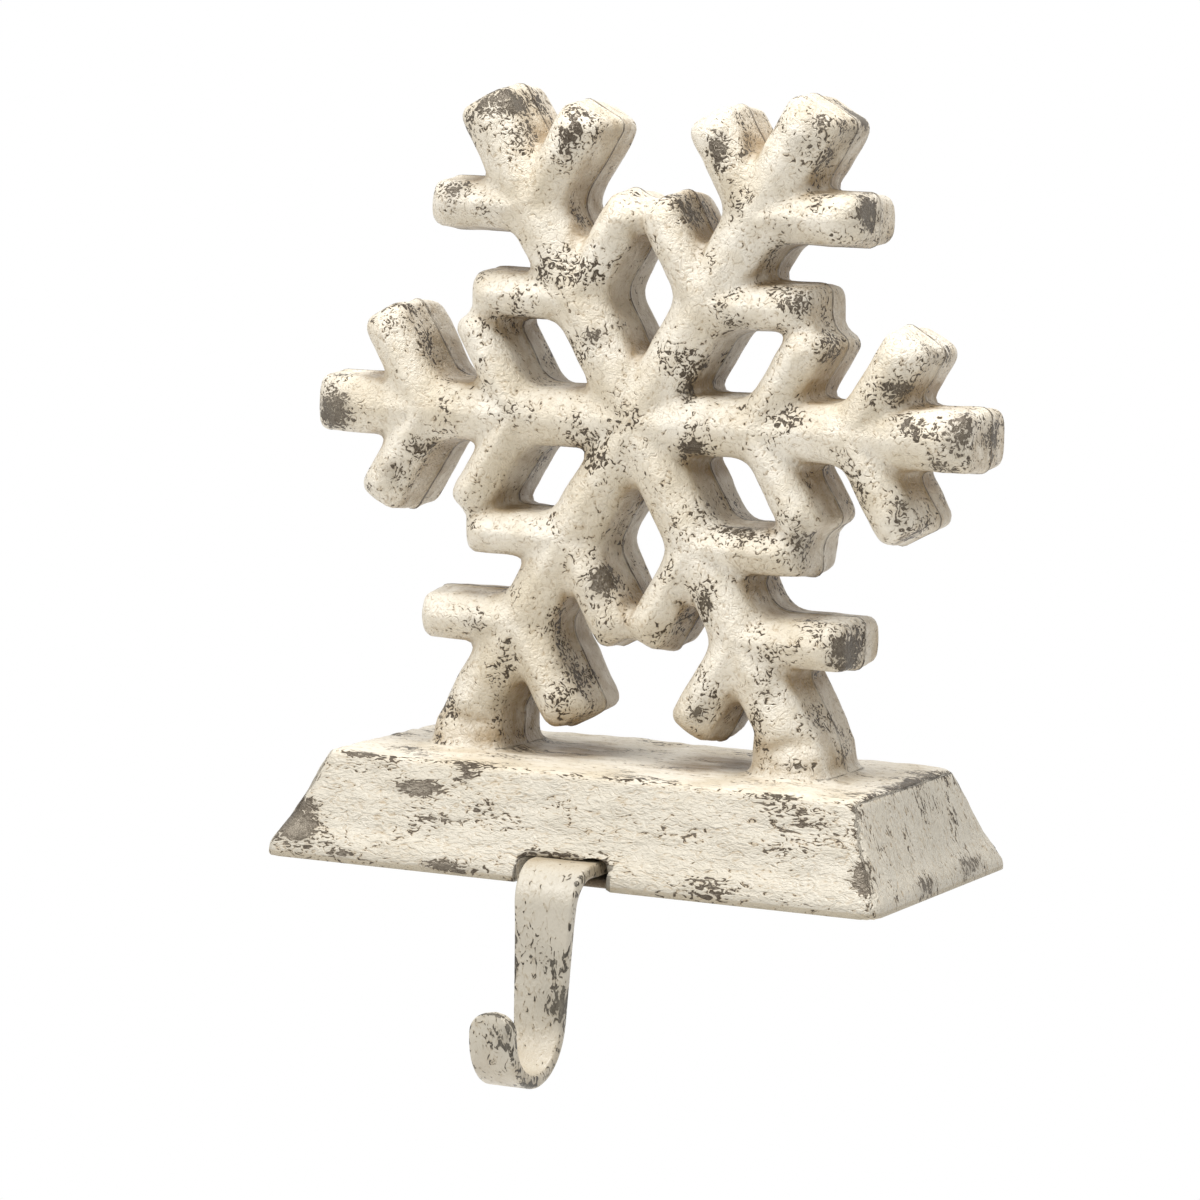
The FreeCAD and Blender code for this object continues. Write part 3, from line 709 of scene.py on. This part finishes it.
def hook_piece(material):
    """The strip: a rectangle with rounded edges carried along its middle line.

    Glaze colour is laid on as painted shade where the strip runs under the block, and low in the bowl.
    """
    count = 420
    s, forward, up, heading, length = strip_line(count)
    half = strip_half_width(s, length)[:, None]
    turns = np.linspace(0, math.pi / 2, 6)
    ring_x, ring_n = [], []
    for quarter, (sx, sn) in enumerate(((1, 1), (-1, 1), (-1, -1), (1, -1))):
        angle = turns + quarter * math.pi / 2
        ring_x.append(sx * (half - STRIP_EDGE) + STRIP_EDGE * np.cos(angle))
        ring_n.append(sn * (STRIP_THICK / 2 - STRIP_EDGE) + STRIP_EDGE * np.sin(angle) + 0 * half)
    x = np.concatenate(ring_x, axis=1)
    n = np.concatenate(ring_n, axis=1)
    around = x.shape[1]
    y = -(forward[:, None] - np.sin(heading)[:, None] * n)
    z = up[:, None] + np.cos(heading)[:, None] * n
    points = np.stack((x, y, z), axis=-1).reshape(-1, 3)
    faces = tube_faces(count, around)
    points, caps = closed_ends(points, count, around)
    piece = add_triangles(mesh_piece("hook_strip", points, faces, material), caps)
    side = np.abs(np.concatenate((x.reshape(-1), (0.0, 0.0))))
    inward = np.append(np.repeat(half, around), (0.0, 0.0)) - side
    edge = np.clip(1.0 - inward / STRIP_EDGE_REACH, 0.0, 1.0)
    # painted shade, as glaze colour, under the block and low in the bowl
    under_block_shade = np.clip((points[:, 1] - BLOCK_SHADE_Y) / BLOCK_SHADE_REACH, 0.0, 1.0)
    bowl = np.clip((BOWL_Z - points[:, 2]) / BOWL_REACH, 0.0, 1.0)
    point_values(piece, "recess", 0.7 * under_block_shade + 0.3 * bowl + 0.15)
    point_values(piece, "edge", edge)
    point_values(piece, "grain", points * np.array((1.0, 1.0, 0.55)))
    point_values(piece, "ungreyed_and_top_lit", np.zeros(len(points)))
    point_values(piece, "worn", worn_places(points, HOOK_WEAR))
    return piece


def tube_faces(count, around):
    """Quads between rings of points, the last ring point joined to the first."""
    i = np.arange(count - 1)[:, None] * around
    j = np.arange(around)[None, :]
    k = (j + 1) % around
    return np.stack((i + j, i + j + around, i + k + around, i + k), axis=-1).reshape(-1, 4)


def closed_ends(points, count, around):
    """Adds a middle point at each end of a tube, and the fans that close it."""
    first = points[:around].mean(axis=0)
    last = points[-around:].mean(axis=0)
    total = len(points)
    j = np.arange(around)
    k = (j + 1) % around
    start = np.stack((j, k, np.full(around, total)), axis=-1)
    shift = (count - 1) * around
    end = np.stack((k + shift, j + shift, np.full(around, total + 1)), axis=-1)
    return np.vstack((points, first, last)), np.vstack((start, end))


def add_triangles(piece, triangles):
    """Adds triangles between points that the mesh already has."""
    mesh = piece.data
    loops, polygons = len(mesh.loops), len(mesh.polygons)
    mesh.loops.add(triangles.size)
    mesh.polygons.add(len(triangles))
    vertex = np.empty(loops + triangles.size, np.int32)
    mesh.loops.foreach_get("vertex_index", vertex)
    vertex[loops:] = triangles.reshape(-1)
    mesh.loops.foreach_set("vertex_index", vertex)
    starts = np.empty(polygons + len(triangles), np.int32)
    mesh.polygons.foreach_get("loop_start", starts)
    starts[polygons:] = loops + 3 * np.arange(len(triangles))
    mesh.polygons.foreach_set("loop_start", starts)
    mesh.update(calc_edges=True)
    mesh.validate()
    return piece


# The felt pad

def pad_piece(material):
    """A felt sheet: a profile with soft edges carried round a rounded rectangle."""
    inset = PAD_INSET + 0.2
    half = np.array([BLOCK_BOTTOM[k] / 2 - inset for k in (0, 1)])
    corner = 4.0
    turns = np.linspace(0, math.pi / 2, 9)
    outline, outward = [], []
    for quarter, sign in enumerate(((1, 1), (-1, 1), (-1, -1), (1, -1))):
        angle = turns + quarter * math.pi / 2
        direction = np.stack((np.cos(angle), np.sin(angle)), axis=-1)
        outline.append(np.array(sign) * (half - corner) + corner * direction)
        outward.append(direction)
    outline = np.concatenate(outline)
    outward = np.concatenate(outward)
    profile = ((30.0, PAD_TOP_Z), (6.0, PAD_TOP_Z), (0.5, PAD_TOP_Z), (0.0, 1.35),
               (0.0, 0.4), (0.45, 0.05), (6.0, 0.0), (30.0, 0.0))
    rings = []
    for depth, z in profile:
        if depth > corner:
            flat = outline * ((half - depth) / half)
        else:
            flat = outline - outward * depth
        rings.append(np.column_stack((flat, np.full(len(flat), z))))
    points = np.concatenate(rings)
    count, around = len(profile), len(outline)
    faces = tube_faces(count, around)[:, ::-1]
    points, caps = closed_ends(points, count, around)
    piece = mesh_piece("felt_pad", points, faces, material)
    return add_triangles(piece, caps[:, ::-1])


# Materials

def srgb(code):
    """A hex colour as linear red, green, blue and alpha."""
    values = []
    for start in (0, 2, 4):
        level = int(code[start:start + 2], 16) / 255
        values.append(level / 12.92 if level <= 0.04045 else ((level + 0.055) / 1.055) ** 2.4)
    return (*values, 1.0)


def add(tree, kind, inputs, settings=None, out=0):
    """Adds a node, sets or links its inputs by name or number, and gives an output."""
    made = tree.nodes.new(kind)
    for key, value in (settings or {}).items():
        setattr(made, key, value)
    for key, value in inputs.items():
        if isinstance(value, bpy.types.NodeSocket):
            tree.links.new(value, made.inputs[key])
        else:
            made.inputs[key].default_value = value
    return made.outputs[out]


def new_material(name):
    """An empty node material, its tree, and the place of a point in millimetres."""
    material = bpy.data.materials.new(name)
    material.use_nodes = True
    tree = material.node_tree
    tree.nodes.clear()
    place = add(tree, "ShaderNodeTexCoord", {}, out="Object")
    place = add(tree, "ShaderNodeVectorMath", {0: place, "Scale": 1 / MM}, {"operation": "SCALE"})
    return material, tree, place


def show(tree, shader):
    """Puts the shader on the surface."""
    output = tree.nodes.new("ShaderNodeOutputMaterial")
    tree.links.new(shader, output.inputs["Surface"])


# Colours that the casting's paint and the hook's share: a greyer coat, which on the
# block's sides is also painted shade, the wiped lip, and old glaze in the parting line
GREYED_AND_SHADED = "B8B1A2"
LIP_BEIGE = "B0A48D"
OLD_GLAZE = "5B4B36"


def worn_paint(name, paint, shade, glaze_and_shade, metal, dull, hold_off, pits, coat, lip_wipe):
    """Brushed paint over metal, wiped with a brown glaze and rubbed through.

    Old silky paint lies in low brush ridges. Short curled scratches and pits come in
    clusters, and where the paint is rubbed it breaks up into ragged islands over dark
    metal. The mesh gives the attributes recess, edge, worn, fresh and grain. The glaze
    that recess lays is partly painted shade, and fresh greys the block's sides, which
    is also painted shade, while the block's top stays light as painted light. Hold_off
    says how readily the paint fails, pits how much more in clusters, and coat how
    deep its brush ridges are in millimetres. Lip_wipe is the share of plain beige on
    the lip.
    """
    material, tree, place = new_material(name)
    mix = {"data_type": "RGBA"}
    recess = add(tree, "ShaderNodeAttribute", {}, {"attribute_name": "recess"}, out="Fac")
    edge = add(tree, "ShaderNodeAttribute", {}, {"attribute_name": "edge"}, out="Fac")
    worn = add(tree, "ShaderNodeAttribute", {}, {"attribute_name": "worn"}, out="Fac")
    ungreyed_and_top_lit = add(tree, "ShaderNodeAttribute", {}, {"attribute_name": "ungreyed_and_top_lit"}, out="Fac")
    grain = add(tree, "ShaderNodeAttribute", {}, {"attribute_name": "grain"}, out="Vector")
    # the pattern drags along the block and the hook, but not on the snowflake
    height = add(tree, "ShaderNodeSeparateXYZ", {0: place}, out="Z")
    upper = add(tree, "ShaderNodeMath", {0: height, 1: BLOCK_TOP_Z + 0.6}, {"operation": "GREATER_THAN"})
    grain = add(tree, "ShaderNodeMix", {0: upper, 4: grain, 5: place}, {"data_type": "VECTOR"}, out=1)

    # clouds 16 mm across, mottling 5 mm across, curled strokes 1.5 mm wide and the
    # finest grain of 0.6 mm
    clouds = add(tree, "ShaderNodeTexNoise", {"Vector": place, "Scale": 1 / 16.0, "Detail": 3.0})
    mottle = add(tree, "ShaderNodeTexNoise", {
        "Vector": grain, "Scale": 1 / 5.0, "Detail": 4.0, "Roughness": 0.55})
    strokes = add(tree, "ShaderNodeTexNoise", {
        "Vector": grain, "Scale": 1 / 1.5, "Detail": 2.0, "Roughness": 0.5, "Distortion": 1.6})
    fine = add(tree, "ShaderNodeTexNoise", {
        "Vector": grain, "Scale": 1 / 0.6, "Detail": 2.0, "Roughness": 0.6, "Distortion": 0.8})

    tint = add(tree, "ShaderNodeMapRange", {"Value": clouds, "From Min": 0.42, "From Max": 0.66})
    colour = add(tree, "ShaderNodeMix", {0: tint, 6: srgb(paint), 7: srgb(shade)}, mix, out=2)
    dusty = add(tree, "ShaderNodeMapRange", {
        "Value": mottle, "From Min": 0.46, "From Max": 0.66, "To Min": 0.0, "To Max": 0.55})
    colour = add(tree, "ShaderNodeMix", {0: dusty, 6: colour, 7: srgb(shade)}, mix, out=2)
    # the block's sides and the hook take a greyer tone, which on the block's sides is also
    # painted shade; the block's top keeps most of its cream as painted light from above
    greyed_and_shaded = add(tree, "ShaderNodeMapRange", {"Value": ungreyed_and_top_lit, "To Min": 0.85, "To Max": 0.0})
    colour = add(tree, "ShaderNodeMix", {0: greyed_and_shaded, 6: colour, 7: srgb(GREYED_AND_SHADED)}, mix, out=2)

    # brown glaze in the hollows, which also paints shade there, on the snowflake's side
    # walls and under the block on the hook, and a trace of it in the troughs of the strokes
    pooled_glaze_and_shade = add(tree, "ShaderNodeMath", {0: recess, 1: mottle}, {"operation": "MULTIPLY"})
    pooled_glaze_and_shade = add(tree, "ShaderNodeMapRange", {
        "Value": pooled_glaze_and_shade, "From Min": 0.10, "From Max": 0.40, "To Min": 0.0, "To Max": 0.84})
    colour = add(tree, "ShaderNodeMix", {0: pooled_glaze_and_shade, 6: colour, 7: srgb(glaze_and_shade)}, mix, out=2)
    troughs = add(tree, "ShaderNodeMapRange", {
        "Value": strokes, "From Min": 0.47, "From Max": 0.32, "To Min": 0.0, "To Max": 0.42})
    colour = add(tree, "ShaderNodeMix", {0: troughs, 6: colour, 7: srgb(glaze_and_shade)}, mix, out=2)

    # the lip round the block's foot, wiped to a plain beige
    lip = add(tree, "ShaderNodeMapRange", {
        "Value": height, "From Min": LIP_TOP_Z, "From Max": LIP_TOP_Z - 0.3,
        "To Min": 0.0, "To Max": lip_wipe})
    colour = add(tree, "ShaderNodeMix", {0: lip, 6: colour, 7: srgb(LIP_BEIGE)}, mix, out=2)

    # the mould's parting line, which wanders a little: a dark core a third of a
    # millimetre wide between soft sides, more filled with glaze in some places
    depth = add(tree, "ShaderNodeSeparateXYZ", {0: place}, out="Y")
    wander = add(tree, "ShaderNodeMath", {0: clouds, 1: 1.2, 2: FLAKE_MIDDLE[1] - 0.6}, {
        "operation": "MULTIPLY_ADD"})
    off_seam = add(tree, "ShaderNodeMath", {0: depth, 1: wander}, {"operation": "SUBTRACT"})
    off_seam = add(tree, "ShaderNodeMath", {0: off_seam}, {"operation": "ABSOLUTE"})
    seam = add(tree, "ShaderNodeMapRange", {
        "Value": off_seam, "From Min": 0.42, "From Max": 0.16, "To Min": 0.0, "To Max": 0.9})
    above = add(tree, "ShaderNodeMapRange", {
        "Value": height, "From Min": BLOCK_TOP_Z + 1.0, "From Max": BLOCK_TOP_Z + 3.0})
    filled = add(tree, "ShaderNodeMapRange", {
        "Value": mottle, "From Min": 0.40, "From Max": 0.56, "To Min": 0.35})
    seam = add(tree, "ShaderNodeMath", {0: seam, 1: filled}, {"operation": "MULTIPLY"})
    seam = add(tree, "ShaderNodeMath", {0: seam, 1: above}, {"operation": "MULTIPLY"})
    colour = add(tree, "ShaderNodeMix", {0: seam, 6: colour, 7: srgb(OLD_GLAZE)}, mix, out=2)

    # where the paint gives way: along the low places of the strokes, more of them in
    # clusters 10 mm across, on edges and where hands and shelf have rubbed
    hold = add(tree, "ShaderNodeMath", {0: fine, 1: 0.16, 2: strokes}, {"operation": "MULTIPLY_ADD"})
    hold = add(tree, "ShaderNodeMath", {0: mottle, 1: 0.30, 2: hold}, {"operation": "MULTIPLY_ADD"})
    patchy = add(tree, "ShaderNodeTexNoise", {"Vector": grain, "Scale": 1 / 10.0, "Detail": 3.0})
    weak = add(tree, "ShaderNodeMapRange", {
        "Value": patchy, "From Min": 0.46, "From Max": 0.68,
        "To Min": hold_off, "To Max": hold_off + pits})
    edged = add(tree, "ShaderNodeMapRange", {
        "Value": edge, "From Min": 0.42, "From Max": 0.80, "To Min": 0.0, "To Max": 0.13})
    weak = add(tree, "ShaderNodeMath", {0: weak, 1: edged}, {"operation": "ADD"})
    rubbed = add(tree, "ShaderNodeMath", {0: worn, 1: 2.0}, {"operation": "POWER"})
    weak = add(tree, "ShaderNodeMath", {0: rubbed, 1: 0.40, 2: weak}, {"operation": "MULTIPLY_ADD"})
    weak = add(tree, "ShaderNodeMath", {0: weak, 1: 0.88}, {"operation": "MINIMUM"})
    lack = add(tree, "ShaderNodeMath", {0: weak, 1: hold}, {"operation": "SUBTRACT"})
    stain = add(tree, "ShaderNodeMapRange", {
        "Value": lack, "From Min": -0.10, "From Max": 0.0, "To Min": 0.0, "To Max": 0.5})
    colour = add(tree, "ShaderNodeMix", {0: stain, 6: colour, 7: srgb(glaze_and_shade)}, mix, out=2)
    wash = add(tree, "ShaderNodeMath", {0: rubbed, 1: mottle}, {"operation": "MULTIPLY"})
    wash = add(tree, "ShaderNodeMapRange", {
        "Value": wash, "From Min": 0.04, "From Max": 0.5, "To Max": 0.7})
    colour = add(tree, "ShaderNodeMix", {0: wash, 6: colour, 7: srgb(dull)}, mix, out=2)
    bare = add(tree, "ShaderNodeMapRange", {"Value": lack, "From Min": -0.014, "From Max": 0.014})
    under = add(tree, "ShaderNodeMath", {0: rubbed, 1: 0.35, 2: fine}, {"operation": "MULTIPLY_ADD"})
    under = add(tree, "ShaderNodeMapRange", {"Value": under, "From Min": 0.45, "From Max": 1.0})
    under = add(tree, "ShaderNodeMix", {0: under, 6: srgb(metal), 7: srgb(dull)}, mix, out=2)
    colour = add(tree, "ShaderNodeMix", {0: bare, 6: colour, 7: under}, mix, out=2)

    # relief: strokes and pits of a tenth of a millimetre, and the paint's broken edge
    relief = add(tree, "ShaderNodeMath", {0: fine, 1: 0.35, 2: strokes}, {"operation": "MULTIPLY_ADD"})
    relief = add(tree, "ShaderNodeMath", {0: mottle, 1: 1.2, 2: relief}, {"operation": "MULTIPLY_ADD"})
    relief = add(tree, "ShaderNodeMath", {0: bare, 1: -0.45, 2: relief}, {"operation": "MULTIPLY_ADD"})
    ridge = add(tree, "ShaderNodeMapRange", {"Value": off_seam, "From Min": 1.1, "From Max": 0.45})
    ridge = add(tree, "ShaderNodeMath", {0: ridge, 1: above}, {"operation": "MULTIPLY"})
    relief = add(tree, "ShaderNodeMath", {0: ridge, 1: 0.7, 2: relief}, {"operation": "MULTIPLY_ADD"})
    relief = add(tree, "ShaderNodeMath", {0: seam, 1: -1.0, 2: relief}, {"operation": "MULTIPLY_ADD"})
    bump = add(tree, "ShaderNodeBump", {"Height": relief, "Strength": 1.0, "Distance": coat * MM})
    metallic = add(tree, "ShaderNodeMath", {0: bare, 1: 0.35}, {"operation": "MULTIPLY"})
    rough = add(tree, "ShaderNodeMapRange", {"Value": mottle, "To Min": 0.24, "To Max": 0.52})
    shader = add(tree, "ShaderNodeBsdfPrincipled", {
        "Base Color": colour, "Metallic": metallic, "Roughness": rough, "Normal": bump})
    show(tree, shader)
    return material


def felt():
    """Pressed wool felt: brown grey, quite dull, with a fuzz of crossing fibres."""
    material, tree, place = new_material("pressed wool felt")
    fibres = add(tree, "ShaderNodeTexNoise", {
        "Vector": place, "Scale": 1 / 0.6, "Detail": 5.0, "Distortion": 2.0})
    colour = add(tree, "ShaderNodeMix", {
        0: fibres, 6: srgb("4A3F33"), 7: srgb("8A7A64")}, {"data_type": "RGBA"}, out=2)
    bump = add(tree, "ShaderNodeBump", {"Height": fibres, "Strength": 0.8, "Distance": 0.3 * MM})
    shader = add(tree, "ShaderNodeBsdfPrincipled", {
        "Base Color": colour, "Roughness": 1.0, "Sheen Weight": 0.3, "Normal": bump})
    show(tree, shader)
    return material


def zinc_steel():
    """Zinc-plated steel screws: bright, with faint turning marks."""
    material, tree, place = new_material("zinc-plated turned steel")
    marks = add(tree, "ShaderNodeTexNoise", {"Vector": place, "Scale": 1 / 0.5, "Detail": 2.0})
    rough = add(tree, "ShaderNodeMapRange", {"Value": marks, "To Min": 0.28, "To Max": 0.42})
    shader = add(tree, "ShaderNodeBsdfPrincipled", {
        "Base Color": srgb("C9CACB"), "Metallic": 1.0, "Roughness": rough})
    show(tree, shader)
    return material


# The object

casting_paint = worn_paint(
    "brushed cream paint on sand-cast alloy",
    paint="E6DECE", shade="D2C6AF", glaze_and_shade="9C835D", metal="4B4032", dull="7F7668",
    hold_off=0.475, pits=0.25, coat=0.52, lip_wipe=0.8)
hook_paint = worn_paint(
    "smooth cream paint on bent steel",
    paint="C6BDAD", shade="B8AD9A", glaze_and_shade="9C8D74", metal="453F36", dull="7A7468",
    hold_off=0.48, pits=0.07, coat=0.22, lip_wipe=0.0)

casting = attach(casting_piece(casting_paint), "root")
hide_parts("holder_casting")
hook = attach(hook_piece(hook_paint), "root")
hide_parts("hook")
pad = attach(pad_piece(felt()), "root")
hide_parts("base_pad")
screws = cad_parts["hook_screws"]
screws.data.materials.clear()
screws.data.materials.append(zinc_steel())


# The stage: floor, light and camera

# Angles in radians, picture and focal length in pixels, lengths in millimetres but
# for the lamps, which stand in metres
CAMERA_AZIMUTH = 0.43048
CAMERA_HEIGHT = 0.11194
CAMERA_ROLL = 0.03082
CAMERA_AWAY = 1107.2
LOOK_AT = (-11.46, 0.0, 59.92)
LAMPS_LOOK_AT = (0.0, 0.0, 0.08)
PHOTO_SIZE = 1200
PHOTO_FOCAL = 4835.95
SENSOR = 36.0


def camera_axes():
    """Right, up and back directions of a rolled camera that looks at the object."""
    back = np.array((
        math.sin(CAMERA_AZIMUTH) * math.cos(CAMERA_HEIGHT),
        -math.cos(CAMERA_AZIMUTH) * math.cos(CAMERA_HEIGHT),
        math.sin(CAMERA_HEIGHT)))
    right = np.array((math.cos(CAMERA_AZIMUTH), math.sin(CAMERA_AZIMUTH), 0.0))
    up = np.cross(back, right)
    cos, sin = math.cos(CAMERA_ROLL), math.sin(CAMERA_ROLL)
    return right * cos + up * sin, up * cos - right * sin, back


def placed(right, up, back, spot):
    """The matrix of an object with these directions for its X, Y and Z."""
    return Matrix([(right[k], up[k], back[k], spot[k]) for k in range(3)] + [(0.0, 0.0, 0.0, 1.0)])


def make_camera():
    """The camera that shows the object as the photo does."""
    data = bpy.data.cameras.new("camera")
    data.sensor_width = SENSOR
    data.lens = PHOTO_FOCAL / PHOTO_SIZE * SENSOR
    data.clip_end = 100.0
    camera = bpy.data.objects.new("camera", data)
    bpy.context.collection.objects.link(camera)
    right, up, back = camera_axes()
    spot = (np.array(LOOK_AT) + back * CAMERA_AWAY) * MM
    camera.matrix_world = placed(right, up, back, spot)
    bpy.context.scene.camera = camera


def make_light(name, spot, size, power):
    """A square lamp that faces the middle of the object."""
    data = bpy.data.lights.new(name, "AREA")
    data.size = size
    data.energy = power
    lamp = bpy.data.objects.new(name, data)
    bpy.context.collection.objects.link(lamp)
    back = np.array(spot) - np.array(LAMPS_LOOK_AT)
    back = back / np.linalg.norm(back)
    right = np.cross((0.0, 0.0, 1.0), back)
    right = right / np.linalg.norm(right)
    up = np.cross(back, right)
    lamp.matrix_world = placed(right, up, back, spot)


def make_floor():
    """A pale floor well below the hook."""
    half, level = 0.45, -0.3
    corners = [(-half, -half, level), (half, -half, level), (half, half, level), (-half, half, level)]
    mesh = bpy.data.meshes.new("floor")
    mesh.from_pydata(corners, [], [(0, 1, 2, 3)])
    floor = bpy.data.objects.new("floor", mesh)
    bpy.context.collection.objects.link(floor)
    material, tree, _ = new_material("matt white floor")
    show(tree, add(tree, "ShaderNodeBsdfPrincipled", {"Base Color": srgb("F4F3F1"), "Roughness": 0.9}))
    mesh.materials.append(material)


def make_world():
    """A white room, which lights the object more softly than it looks."""
    world = bpy.data.worlds.new("white room")
    bpy.context.scene.world = world
    world.use_nodes = True
    tree = world.node_tree
    tree.nodes.clear()
    seen = add(tree, "ShaderNodeLightPath", {}, out="Is Camera Ray")
    strength = add(tree, "ShaderNodeMapRange", {"Value": seen, "To Min": 0.72, "To Max": 1.0})
    room = add(tree, "ShaderNodeBackground", {"Color": (1.0, 1.0, 1.0, 1.0), "Strength": strength})
    output = tree.nodes.new("ShaderNodeOutputWorld")
    tree.links.new(room, output.inputs["Surface"])


bpy.context.scene.view_settings.view_transform = "Standard"
make_camera()
make_floor()
make_world()
make_light("key", (-1.05, -1.35, 1.6), 0.7, 22.5)
make_light("overhead", (0.3, -0.2, 2.2), 1.2, 52.0)
